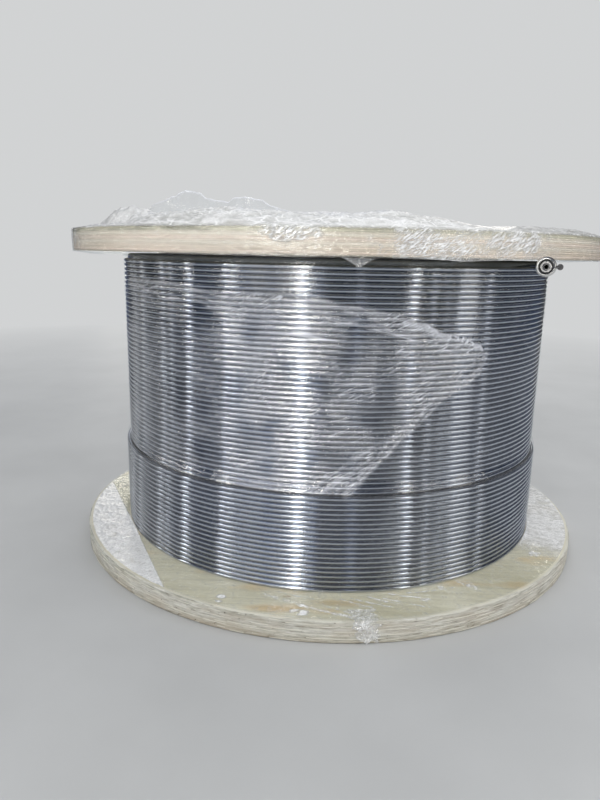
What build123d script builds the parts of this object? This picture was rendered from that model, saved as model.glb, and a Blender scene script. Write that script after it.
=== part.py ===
from build123d import *
from math import cos, pi, radians, sin, sqrt
import os

# A coil of stainless steel tubing, wound on a plywood reel that stands on one flange.
# Millimetres, +Z up. The origin is the middle of the bottom flange's underside, and the
# reel's axis is Z. The tube's free end points to -Y, the front.

# Tubing
TUBE_OD = 12.7
TUBE_WALL = 1.24
TURNS = 64  # side by side between the flanges
LAYERS = 9  # full layers, one on another
SHORT_LAYER_TURNS = 20  # the last layer stops this many turns up
TURN_GROOVE = 4.3  # depth of the valley between two turns
TURNS_TO_A_GROOVE = 8  # the winding's outside is cut with one valley in so many turns
ROOM_ABOVE_TURNS = 6.0

# Free end of the tube
TAIL_AZIMUTH = -17.7  # where it leaves the coil, from +X
TAIL_TUCK = 1.5  # how far its line lies inside the last turn's
TAIL_END_IN_NUT = 4.0  # the open end's depth below the nut's face
TAIL_OPEN_LENGTH = 250.0  # how much of its bore is cut out

# Reel
FLANGE_OD = 1570.0
FLANGE_THICKNESS = 57.0
FLANGE_EDGE_BREAK = 3.0
ARBOR_BORE = 80.0
BARREL_OD = 1095.0
BARREL_WALL = 28.0
BARREL_STAVES = 36
BARREL_GROOVE_DEPTH = 12.0

# End fitting on the free end
NUT_END_FLATS = 22.2
NUT_END_LENGTH = 16.0
COLLAR_OD = 43.0
COLLAR_LENGTH = 12.0
COLLAR_BREAK = 4.0
GROMMET_OD = 31.0
GROMMET_LENGTH = 9.0
COLLAR_TO_RIM = 3.5
CLAMP_SCREW_DIAMETER = 13.0
CLAMP_SCREW_LENGTH = 14.0

# Stretch film
FILM_THICKNESS = 0.8  # several plies
FILM_TOP_EDGE = 16.0  # below the last turn's top, clear of the free end
FILM_SLOPE = 34.0  # height over which the film runs out over the short layer
FILM_UNDER_RIM = 5.0  # how far below the top flange the film on its rim ends
GATHER_INNER = 560.0
GATHER_CREST = 690.0
GATHER_HEIGHT = 30.0
LUMP_TOP_SHARE = 0.35  # a lump's top, as a share of its foot
# Lumps of gathered film: azimuth from +X, radius of the place, height, half width
GATHER_LUMPS = (
    (-124.0, 705.0, 50.0, 62.0),
    (-111.0, 715.0, 92.0, 66.0),
    (-94.0, 712.0, 72.0, 58.0),
)

# Fits
SEAT = 0.3  # between pieces that rest on or lie against each other

# Worked out
LAYER_RISE = TUBE_OD * sqrt(3) / 2
WINDING_BORE = BARREL_OD / 2 + SEAT
FULL_RADIUS = WINDING_BORE + TUBE_OD + (LAYERS - 1) * LAYER_RISE
SHORT_RADIUS = FULL_RADIUS + LAYER_RISE
WINDING_BOTTOM = FLANGE_THICKNESS + SEAT
WINDING_TOP = WINDING_BOTTOM + TURNS * TUBE_OD
SHORT_TOP = WINDING_BOTTOM + SHORT_LAYER_TURNS * TUBE_OD
TOP_FLANGE_BOTTOM = WINDING_TOP + ROOM_ABOVE_TURNS
TOP_FLANGE_TOP = TOP_FLANGE_BOTTOM + FLANGE_THICKNESS
FLANGE_RADIUS = FLANGE_OD / 2
BARREL_FLATS = BARREL_OD / 2 - BARREL_WALL  # from the axis to each stave's inner face
TAIL_CENTRE_RADIUS = FULL_RADIUS - TUBE_OD / 2 - TAIL_TUCK
TAIL_HEIGHT = WINDING_TOP - TUBE_OD / 2 - TAIL_TUCK


def keep(builder, name):
    builder.part.label = name
    export_step(builder.part, f"parts/{name}.step")


def end_turns(layers, height, inward):
    """The layers' end turns, from the barrel outwards: crests at a height, valleys inside it."""
    valley = height + inward * TURN_GROOVE
    points = [(WINDING_BORE, valley)]
    for layer in range(layers):
        outside = WINDING_BORE + TUBE_OD / 2 + (layer + 0.5) * LAYER_RISE
        points.append((outside - LAYER_RISE / 2, height))
        points.append((outside, valley))
    return points


def outside_grooves(first, last, radius):
    """Valleys between turns on the winding's outside, upwards from one count of turns to another."""
    points = []
    for turn in range(first, last, TURNS_TO_A_GROOVE):
        height = WINDING_BOTTOM + turn * TUBE_OD
        points.append((radius, height - TUBE_OD / 2))
        points.append((radius - TURN_GROOVE, height))
        points.append((radius, height + TUBE_OD / 2))
    return points


def film_line(gap):
    """The film's line down the coil and out over the bottom flange, at a gap from them."""
    return [
        (FULL_RADIUS + gap, WINDING_TOP - FILM_TOP_EDGE),
        (FULL_RADIUS + gap, SHORT_TOP + FILM_SLOPE),
        (SHORT_RADIUS + gap, SHORT_TOP),
        (SHORT_RADIUS + gap, FLANGE_THICKNESS + gap),
        (FLANGE_RADIUS - FLANGE_EDGE_BREAK, FLANGE_THICKNESS + gap),
    ]


def flange(name, base, inner_face, into):
    """A plywood disc with its arbor bore, and a groove for the barrel in its inner face."""
    with BuildPart() as disc:
        with BuildSketch(Plane.XY.offset(base)):
            Circle(FLANGE_RADIUS)
            Circle(ARBOR_BORE / 2, mode=Mode.SUBTRACT)
        extrude(amount=FLANGE_THICKNESS)
        rims = disc.edges().filter_by(GeomType.CIRCLE)
        chamfer(rims.filter_by(lambda edge: edge.radius > BARREL_OD / 2), FLANGE_EDGE_BREAK)
        with BuildSketch(Plane.XY.offset(inner_face)):
            Circle(WINDING_BORE)
            RegularPolygon(BARREL_FLATS - SEAT, BARREL_STAVES, major_radius=False, mode=Mode.SUBTRACT)
        extrude(amount=into * BARREL_GROOVE_DEPTH, mode=Mode.SUBTRACT)
    keep(disc, name)


os.makedirs("parts", exist_ok=True)

# The two flanges
flange("bottom_flange", 0, FLANGE_THICKNESS, -1)
flange("top_flange", TOP_FLANGE_BOTTOM, TOP_FLANGE_BOTTOM, 1)

# The barrel: staves glued edge to edge, flat inside and turned round outside
barrel_bottom = FLANGE_THICKNESS - BARREL_GROOVE_DEPTH + SEAT
barrel_top = TOP_FLANGE_BOTTOM + BARREL_GROOVE_DEPTH - SEAT
with BuildPart() as barrel:
    with BuildSketch(Plane.XY.offset(barrel_bottom)):
        Circle(BARREL_OD / 2)
        RegularPolygon(BARREL_FLATS, BARREL_STAVES, major_radius=False, mode=Mode.SUBTRACT)
    extrude(amount=barrel_top - barrel_bottom)
keep(barrel, "barrel")

# The free end's straight run, from the point where it leaves the coil
tail_angle = radians(TAIL_AZIMUTH)
tail_start = Vector(TAIL_CENTRE_RADIUS * cos(tail_angle), TAIL_CENTRE_RADIUS * sin(tail_angle), TAIL_HEIGHT)
tail_direction = Vector(sin(tail_angle), -cos(tail_angle), 0)
tail_outward = Vector(cos(tail_angle), sin(tail_angle), 0)


def along_tail(distance):
    """The plane across the free end at a distance from where it leaves the coil."""
    return Plane(tail_start + tail_direction * distance, x_dir=tail_outward, z_dir=tail_direction)


# The end fitting lies just outside the rim, and the tube ends inside its nut
collar_side = TAIL_CENTRE_RADIUS - COLLAR_OD / 2
clear_radius = FLANGE_RADIUS + SEAT + FILM_THICKNESS + COLLAR_TO_RIM
collar_back = sqrt(clear_radius**2 - collar_side**2)
grommet_back = collar_back + SEAT
nut_back = grommet_back + GROMMET_LENGTH + SEAT
tail_reach = nut_back + NUT_END_LENGTH - TAIL_END_IN_NUT

# The winding and its free end are one length of tube
with BuildPart() as coil:
    with BuildSketch(Plane.XZ):
        with BuildLine():
            low = end_turns(LAYERS + 1, WINDING_BOTTOM, 1)
            low[-1] = (SHORT_RADIUS, WINDING_BOTTOM + TURN_GROOVE)
            ledge = [
                (SHORT_RADIUS, SHORT_TOP - TURN_GROOVE),
                (SHORT_RADIUS - TUBE_OD / 2, SHORT_TOP),
                (FULL_RADIUS, SHORT_TOP),
            ]
            high = end_turns(LAYERS, WINDING_TOP, -1)
            high[-1] = (FULL_RADIUS, WINDING_TOP - TURN_GROOVE)
            short_grooves = outside_grooves(TURNS_TO_A_GROOVE, SHORT_LAYER_TURNS, SHORT_RADIUS)
            above_ledge = (SHORT_LAYER_TURNS // TURNS_TO_A_GROOVE + 1) * TURNS_TO_A_GROOVE
            full_grooves = outside_grooves(above_ledge, TURNS, FULL_RADIUS)
            Polyline([*low, *short_grooves, *ledge, *full_grooves, *reversed(high)], close=True)
        make_face()
    revolve(axis=Axis.Z)
    with BuildSketch(along_tail(0)):
        Circle(TUBE_OD / 2)
    extrude(amount=tail_reach)
    with BuildSketch(along_tail(tail_reach)):
        Circle(TUBE_OD / 2 - TUBE_WALL)
    extrude(amount=-TAIL_OPEN_LENGTH, mode=Mode.SUBTRACT)
keep(coil, "tube_coil")

# The end fitting: a collar, a grommet in it and a nut at the tube's end
with BuildPart() as collar:
    with BuildSketch(along_tail(collar_back)):
        Circle(COLLAR_OD / 2)
        Circle(GROMMET_OD / 2 + SEAT, mode=Mode.SUBTRACT)
    extrude(amount=COLLAR_LENGTH)
    front_edges = collar.edges().group_by(Axis(tail_start, tail_direction))[-1]
    chamfer(front_edges.sort_by(SortBy.LENGTH)[-1], COLLAR_BREAK)
keep(collar, "end_collar")

with BuildPart() as grommet:
    with BuildSketch(along_tail(grommet_back)):
        Circle(GROMMET_OD / 2)
        Circle(TUBE_OD / 2 + SEAT, mode=Mode.SUBTRACT)
    extrude(amount=GROMMET_LENGTH)
keep(grommet, "end_grommet")

with BuildPart() as end_nut:
    with BuildSketch(along_tail(nut_back)):
        RegularPolygon(NUT_END_FLATS / 2, 6, major_radius=False)
        Circle(TUBE_OD / 2 + SEAT, mode=Mode.SUBTRACT)
    extrude(amount=NUT_END_LENGTH)
keep(end_nut, "end_nut")

with BuildPart() as clamp_screw:
    with BuildSketch(along_tail(collar_back)):
        with Locations((COLLAR_OD / 2 + SEAT + CLAMP_SCREW_DIAMETER / 2, 0)):
            Circle(CLAMP_SCREW_DIAMETER / 2)
    extrude(amount=CLAMP_SCREW_LENGTH)
keep(clamp_screw, "clamp_screw")

# The film round the coil and over the bottom flange
with BuildPart() as film_wrap:
    with BuildSketch(Plane.XZ):
        with BuildLine():
            inside = film_line(SEAT)
            outside = film_line(SEAT + FILM_THICKNESS)
            Polyline([*inside, *reversed(outside)], close=True)
        make_face()
    revolve(axis=Axis.Z)
keep(film_wrap, "film_wrap")

# The film gathered on the top flange and drawn down over its rim
film_bed = TOP_FLANGE_TOP + SEAT
rim_inside = FLANGE_RADIUS + SEAT
rim_outside = rim_inside + FILM_THICKNESS
with BuildPart() as film_top:
    with BuildSketch(Plane.XZ):
        with BuildLine():
            Polyline(
                (GATHER_INNER, film_bed),
                (rim_inside, film_bed),
                (rim_inside, TOP_FLANGE_BOTTOM - FILM_UNDER_RIM),
                (rim_outside, TOP_FLANGE_BOTTOM - FILM_UNDER_RIM),
                (rim_outside, film_bed + FILM_THICKNESS),
                (GATHER_CREST, film_bed + GATHER_HEIGHT),
                close=True,
            )
        make_face()
    revolve(axis=Axis.Z)
    for azimuth, place, height, half_width in GATHER_LUMPS:
        turn = radians(azimuth)
        with Locations((place * cos(turn), place * sin(turn), film_bed)):
            lowest = (Align.CENTER, Align.CENTER, Align.MIN)
            Cone(half_width, half_width * LUMP_TOP_SHARE, height, align=lowest)
keep(film_top, "film_top")

# One length of tube fills the winding, so its weight is worked out from its length
turn_total = TURNS * LAYERS + SHORT_LAYER_TURNS
mean_radius = (WINDING_BORE + FULL_RADIUS) / 2
tube_length = 2 * pi * mean_radius * turn_total + tail_reach
tube_section = pi * (TUBE_OD - TUBE_WALL) * TUBE_WALL
print(f"tube length {tube_length / 1000:.0f} m, metal {tube_length * tube_section / 1e9:.4f} m3")
print(f"overall height {TOP_FLANGE_TOP:.1f}, coil radius {FULL_RADIUS:.1f} and {SHORT_RADIUS:.1f}")
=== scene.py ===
from math import cos, pi, radians, sin, sqrt, tau

import bpy
import numpy as np
from mathutils import Matrix, Vector, noise


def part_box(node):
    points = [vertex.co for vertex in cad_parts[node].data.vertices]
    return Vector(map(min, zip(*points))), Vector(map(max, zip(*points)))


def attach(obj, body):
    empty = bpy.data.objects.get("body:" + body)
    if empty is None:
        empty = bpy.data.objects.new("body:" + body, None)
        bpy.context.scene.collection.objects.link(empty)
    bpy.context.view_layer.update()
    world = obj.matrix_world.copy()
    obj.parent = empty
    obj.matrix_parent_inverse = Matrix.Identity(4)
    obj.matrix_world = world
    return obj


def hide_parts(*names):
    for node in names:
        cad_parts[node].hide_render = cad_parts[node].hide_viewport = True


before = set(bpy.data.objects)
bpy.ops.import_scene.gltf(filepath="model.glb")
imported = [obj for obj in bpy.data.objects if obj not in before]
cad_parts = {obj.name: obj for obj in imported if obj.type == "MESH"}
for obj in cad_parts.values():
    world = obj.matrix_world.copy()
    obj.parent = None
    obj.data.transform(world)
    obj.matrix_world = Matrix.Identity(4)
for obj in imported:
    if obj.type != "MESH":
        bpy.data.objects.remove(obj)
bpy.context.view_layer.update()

# The looks of a coil of stainless steel tubing on a plywood reel, in metres, in the CAD's frame

# Sizes taken from the frame
flange_low, flange_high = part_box("bottom_flange")
top_low, top_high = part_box("top_flange")
coil_low, coil_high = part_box("tube_coil")
RIM = flange_high.x
BED = flange_high.z
UNDER = top_low.z
DECK = top_high.z
WIND_LOW = coil_low.z
WIND_HIGH = coil_high.z
SHORT_RADIUS = -coil_low.x

# The tube and its winding
TUBE = 0.0127
WALL = 0.00124
TURNS = 64
SHORT_TURNS = 20
INNER_LAYERS = 8
LAYER_RISE = TUBE * sqrt(3) / 2
FULL_RADIUS = SHORT_RADIUS - LAYER_RISE
SHORT_TOP = WIND_LOW + SHORT_TURNS * TUBE
BORE_RADIUS = 0.5478
# Where each turn steps up to the next, as an angle from the free end
CROSSING = radians(78)
CROSSING_WIDTH = radians(34)

# The free end, and how far along it the pieces of its fitting start
TAIL_AZIMUTH = radians(-17.7)
TAIL_TUCK = 0.0015
TAIL_LENGTH = 0.5116
COLLAR_BACK = 0.4900
GROMMET_BACK = 0.4903
NUT_BACK = 0.4996
TUBE_HOLE = 0.00665
SCREW_OUT = 0.0283

# The reel
PLIES = 13
ARBOR = 0.04
GROOVE_INNER = 0.5190
GROOVE_DEPTH = 0.012
TIE_RODS = 8
TIE_CIRCLE = 0.485

# Radii at which turned parts and the coil's film are unrolled for their surface coordinates
UNROLL = 0.785
COIL_UNROLL = 0.65
# Lift that keeps a face clear of the one below it
CLEAR = 0.0012


# Mesh helpers

def polar(radius, angle, height=0.0):
    """Points at a radius, an angle round Z and a height."""
    return np.stack(np.broadcast_arrays(radius * np.cos(angle), radius * np.sin(angle), height), -1)


def grid(down, across):
    """Both coordinates of each point of a grid, row by row."""
    return [part.ravel() for part in np.meshgrid(down, across, indexing="ij")]


def filled(shape, *parts):
    """Each part spread over a grid of that shape and laid out row by row."""
    return [np.broadcast_to(part, shape).ravel() for part in parts]


def round_angles(count):
    return np.linspace(-pi, pi, count, endpoint=False)


def quads(rows, cols, wrap_cols=False, wrap_rows=False):
    """The faces of a grid of points, row by row, joined round where it wraps."""
    r = np.arange(rows if wrap_rows else rows - 1)
    c = np.arange(cols if wrap_cols else cols - 1)
    r, c = np.meshgrid(r, c, indexing="ij")
    r2, c2 = (r + 1) % rows, (c + 1) % cols
    return np.stack([r * cols + c, r * cols + c2, r2 * cols + c2, r2 * cols + c], -1).reshape(-1, 4)


def new_object(name, points, faces, finish, values):
    """A mesh object in the scene, with values at its points that the finish can read."""
    mesh = bpy.data.meshes.new(name)
    points = np.asarray(points, float).reshape(-1, 3).tolist()
    mesh.from_pydata(points, [], [list(map(int, face)) for face in faces])
    mesh.update()
    for key, value in values.items():
        attribute = mesh.attributes.new(key, "FLOAT", "POINT")
        attribute.data.foreach_set("value", np.asarray(value, np.float32).ravel())
    mesh.materials.append(finish)
    thing = bpy.data.objects.new(name, mesh)
    bpy.context.scene.collection.objects.link(thing)
    return thing


def piece(name, finish, slot_name, points, faces, values=None, uv=None, replaced=(), crisp=None):
    """An object on the root body, with what it stands for, and the angle that stays crisp; its slot_name is
    not used.
    Its values are held between 0 and 1."""
    values = {key: np.clip(value, 0, 1) for key, value in (values or {}).items()}
    thing = new_object(name, points, faces, finish, values)
    mesh = thing.data
    mesh.shade_smooth()
    if crisp is not None:
        mesh.set_sharp_from_angle(angle=radians(crisp))
    if uv is not None:
        layer = mesh.uv_layers.new(name="UVMap")
        index = np.empty(len(mesh.loops), int)
        mesh.loops.foreach_get("vertex_index", index)
        layer.data.foreach_set("uv", np.asarray(uv, float)[index].astype(np.float32).ravel())
    if replaced:
        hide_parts(*replaced)
    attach(thing, "root")
    return thing


def smooth_step(x):
    x = np.clip(x, 0, 1)
    return x * x * (3 - 2 * x)


def peaks(values, power):
    """Only the high places of a field, the more so the higher the power."""
    return np.clip(values, 0, 1) ** power


def bell(distance, width, power=2):
    return np.exp(-(distance / width) ** power)


def field(points, scale, octaves=3, seed=0.0, ridged=False):
    """Noise at many points, about -1 to 1, or 0 to 1 with sharp ridges."""
    out = np.empty(len(points))
    for i, p in enumerate(np.asarray(points, float) * scale):
        at = Vector((p[0] + seed, p[1] - seed, p[2] + 0.37 * seed))
        total, gain, size = 0.0, 1.0, 0.0
        for _ in range(octaves):
            n = noise.noise(at)
            total += gain * ((1 - abs(n) * 2.2) if ridged else n * 1.6)
            size += gain
            gain *= 0.52
            at = at * 2.07 + Vector((1.3, 4.1, 2.2))
        out[i] = total / size
    return out


def round_field(angle, radius, height, along, across, octaves, seed):
    """Ridged noise on a ring, with one size along it and one across, and no seam."""
    def sheet(turn):
        places = np.stack([turn * UNROLL * along, radius * across, height * across], -1)
        return field(places, 1.0, octaves, seed, True)
    share = smooth_step((np.abs(angle) - 2.2) / 0.5)
    return (1 - share) * sheet(angle) + share * sheet(angle % tau)


def turned(profile, count, wobble=None):
    """A closed profile of (radius, height) turned round Z. wobble gives each point's change of both."""
    profile = np.asarray(profile, float)
    angle = np.linspace(0, tau, count, endpoint=False)
    r, z = (np.repeat(part[None], count, 0) for part in profile.T)
    if wobble is not None:
        dr, dz = wobble(angle, profile)
        r, z = r + dr, z + dz
    points = polar(r, angle[:, None], z).reshape(-1, 3)
    length = np.concatenate([[0], np.cumsum(np.hypot(*np.diff(profile, axis=0).T))])
    uv = np.stack(np.broadcast_arrays((angle * UNROLL)[:, None], length[None]), -1).reshape(-1, 2)
    return points, quads(count, len(profile), True, True), uv


# Material helpers

def grey(value):
    return (value, value, value)


def operator(operation, swapped=False):
    """One of Python's operators on a Value, as a math node."""
    def apply(self, other):
        return self.finish.math(operation, *((other, self) if swapped else (self, other)))
    return apply


class Value:
    """What a shader node gives, to be written in sums and products."""

    def __init__(self, finish, socket):
        self.finish, self.socket = finish, socket

    __add__, __radd__ = operator("ADD"), operator("ADD", True)
    __sub__, __rsub__ = operator("SUBTRACT"), operator("SUBTRACT", True)
    __mul__, __rmul__ = operator("MULTIPLY"), operator("MULTIPLY", True)
    __truediv__, __pow__ = operator("DIVIDE"), operator("POWER")
    __lt__, __gt__ = operator("LESS_THAN"), operator("GREATER_THAN")
    most = operator("MAXIMUM")

    def __abs__(self):
        return self.finish.math("ABSOLUTE", self)

    def clamped(self):
        """The same value, which its math node holds between 0 and 1."""
        self.socket.node.use_clamp = True
        return self


class Finish:
    """A material, or the world, and short ways to add its nodes."""

    def __init__(self, name, kind="Material"):
        self.owner = (bpy.data.worlds if kind == "World" else bpy.data.materials).new(name)
        self.owner.use_nodes = True
        self.tree = self.owner.node_tree
        self.tree.nodes.clear()
        self.out = self.tree.nodes.new("ShaderNodeOutput" + kind)

    def node(self, kind, inputs=None, result=0, **settings):
        """A new node's output, by name or number."""
        made = self.tree.nodes.new("ShaderNode" + kind)
        for key, value in settings.items():
            setattr(made, key, value)
        for key, value in (inputs or {}).items():
            socket = made.inputs[key]
            if isinstance(value, Value):
                self.tree.links.new(value.socket, socket)
            elif socket.type == "RGBA" and len(value) == 3:
                socket.default_value = (*value, 1)
            else:
                socket.default_value = value
        return Value(self, made.outputs[result])

    @property
    def place(self):
        return self.node("TexCoord", result="Object")

    @property
    def uv(self):
        return self.node("TexCoord", result="UV")

    def attribute(self, name):
        return self.node("Attribute", result="Fac", attribute_name=name)

    def math(self, operation, a, b=0.0):
        return self.node("Math", {0: a, 1: b}, operation=operation)

    def split(self, vector):
        """The three coordinates of a vector."""
        made = self.node("SeparateXYZ", {0: vector}).socket.node
        return [Value(self, output) for output in made.outputs]

    def join(self, a, b, c=0.0):
        return self.node("CombineXYZ", {0: a, 1: b, 2: c})

    def length(self, vector):
        return self.node("VectorMath", {0: vector}, "Value", operation="LENGTH")

    def stretched(self, vector, scale):
        return self.node("Mapping", {"Vector": vector, "Scale": scale})

    def slanted(self, vector, angle):
        """Coordinates whose first axis rises at an angle."""
        return self.node("Mapping", {"Vector": vector, "Rotation": (0, 0, -angle)})

    def noise(self, vector, scale, detail=4.0, rough=0.55, distortion=0.0):
        """Noise at one scale, or at a scale for each axis."""
        if isinstance(scale, tuple):
            vector, scale = self.stretched(vector, scale), 1.0
        inputs = {"Vector": vector, "Scale": scale, "Detail": detail}
        return self.node("TexNoise", {**inputs, "Roughness": rough, "Distortion": distortion})

    def ramp(self, value, *stops):
        made = self.node("ValToRGB", {0: value})
        ramp = made.socket.node.color_ramp
        while len(ramp.elements) < len(stops):
            ramp.elements.new(0.5)
        for element, (place, colour) in zip(ramp.elements, stops):
            element.position = place
            element.color = (*colour, 1)
        return made

    def fade(self, value, low, high, start=0.0, end=1.0):
        """A grey that goes from start to end while the value goes from low to high."""
        return self.ramp(value, (low, grey(start)), (high, grey(end)))

    def mix(self, factor, a, b, blend="MIX"):
        return self.node("Mix", {0: factor, 6: a, 7: b}, 2, data_type="RGBA", blend_type=blend)

    def times(self, a, b, share=1.0):
        """A colour multiplied by another, in full or by a share."""
        return self.mix(share, a, b, "MULTIPLY")

    def bump(self, height, distance, strength=1.0, normal=None):
        inputs = {"Height": height, "Distance": distance, "Strength": strength}
        return self.node("Bump", inputs if normal is None else {**inputs, "Normal": normal})

    def principled(self, colour, roughness, normal=None, metallic=0.0):
        inputs = {"Base Color": colour, "Roughness": roughness, "Metallic": metallic}
        return self.node("BsdfPrincipled", inputs if normal is None else {**inputs, "Normal": normal})

    def glossy(self, roughness, normal):
        return self.node("BsdfGlossy", {"Color": grey(1), "Roughness": roughness, "Normal": normal})

    def blend(self, factor, a, b):
        return self.node("MixShader", {0: factor, 1: a, 2: b})

    def seen(self):
        """1 for what the camera sees, also in reflections and through clear things, and 0 for light."""
        outputs = self.tree.nodes.new("ShaderNodeLightPath").outputs
        names = ("Is Camera Ray", "Is Glossy Ray", "Is Transmission Ray")
        camera, mirror, clear = (Value(self, outputs[name]) for name in names)
        return camera.most(mirror).most(clear)

    def surface(self, shader):
        self.tree.links.new(shader.socket, self.out.inputs[0])
        return self.owner


def steel(cut_from):
    """Bright drawn tube, its UV running along its length in metres; the sawn end past cut_from is dull."""
    f = Finish("bright_steel")
    lines = f.noise(f.uv, (4, 900, 1), 3)
    cloud = f.noise(f.place, 9.0, 3)
    cut = f.split(f.uv)[0] > cut_from
    rough = lines * 0.06 + cloud * 0.05 + 0.035 + cut * 0.50
    tone = f.ramp(cloud, (0.3, (0.395, 0.42, 0.475)), (0.7, (0.465, 0.495, 0.555)))
    tone = f.mix(cut, tone, grey(0.30))
    dents = f.noise(f.uv, (24, 16, 1), 3, 0.6)
    normal = f.bump(dents, 0.00028, normal=f.bump(lines, 0.00004))
    return f.surface(f.principled(tone, rough, normal, 1.0))


def fitting_steel(name, tone, roughness):
    f = Finish(name)
    cloud = f.noise(f.place, 120.0)
    colour = f.ramp(cloud, (0.3, tuple(0.85 * c for c in tone)), (0.7, tone))
    normal = f.bump(f.noise(f.place, 900.0, 2), 0.00003)
    return f.surface(f.principled(colour, cloud * 0.2 + (roughness - 0.1), normal, 1.0))


def rubber():
    f = Finish("black_rubber")
    cloud = f.noise(f.place, 200.0)
    return f.surface(f.principled(f.fade(cloud, 0.3, 0.7, 0.012, 0.03), 0.55, f.bump(cloud, 0.0001)))


def stave_wood():
    f = Finish("stave_wood")
    grain = f.noise(f.place, (40, 40, 1.5), 5, 0.6, 0.5)
    colour = f.ramp(grain, (0.3, (0.34, 0.24, 0.14)), (0.7, (0.55, 0.43, 0.29)))
    return f.surface(f.principled(colour, 0.65, f.bump(grain, 0.0004)))


def veneer_colour(f, grain, x, y, stains):
    """Face veneer with long grain along X, tan clouds, stains and knots, rubbed grey at its edge."""
    broad = f.noise(f.place, (2.2, 6.6, 2.2), 4)
    tones = (0.25, (0.60, 0.56, 0.41)), (0.5, (0.755, 0.715, 0.55)), (0.75, (0.86, 0.825, 0.67))
    veneer = f.ramp(grain, *tones)
    veneer = f.times(veneer, f.ramp(broad, (0.32, (0.80, 0.79, 0.72)), (0.62, grey(1.0))))
    tan = f.ramp(f.noise(f.place, (4.16, 9.1, 1.3), 2), (0.56, grey(1.0)), (0.66, (1.0, 0.86, 0.68)))
    veneer = f.times(veneer, tan, 0.8)
    blur = (broad - 0.5) * 1.6
    for at_x, at_y, half_x, half_y in stains:
        shift = {"Location": (-at_x / half_x, -at_y / half_y, 0), "Scale": (1 / half_x, 1 / half_y, 0)}
        off = f.length(f.node("Mapping", {"Vector": f.place, **shift}))
        veneer = f.times(veneer, f.ramp(off + blur, (0.45, (0.93, 0.83, 0.70)), (1.05, grey(1.0))))
    spots = f.node("TexVoronoi", {"Vector": f.stretched(f.place, (3.0, 5.0, 1)), "Scale": 1.5}, "Distance")
    knot = f.ramp(spots, (0.0, (0.30, 0.20, 0.12)), (0.035, (0.72, 0.64, 0.52)), (0.07, grey(1.0)))
    veneer = f.times(veneer, knot)
    rubbed = ((f.length(f.join(x, y)) - (RIM - 0.016)) * 80.0).clamped()
    return f.mix(rubbed * 0.8, veneer, (0.64, 0.63, 0.57))


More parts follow.
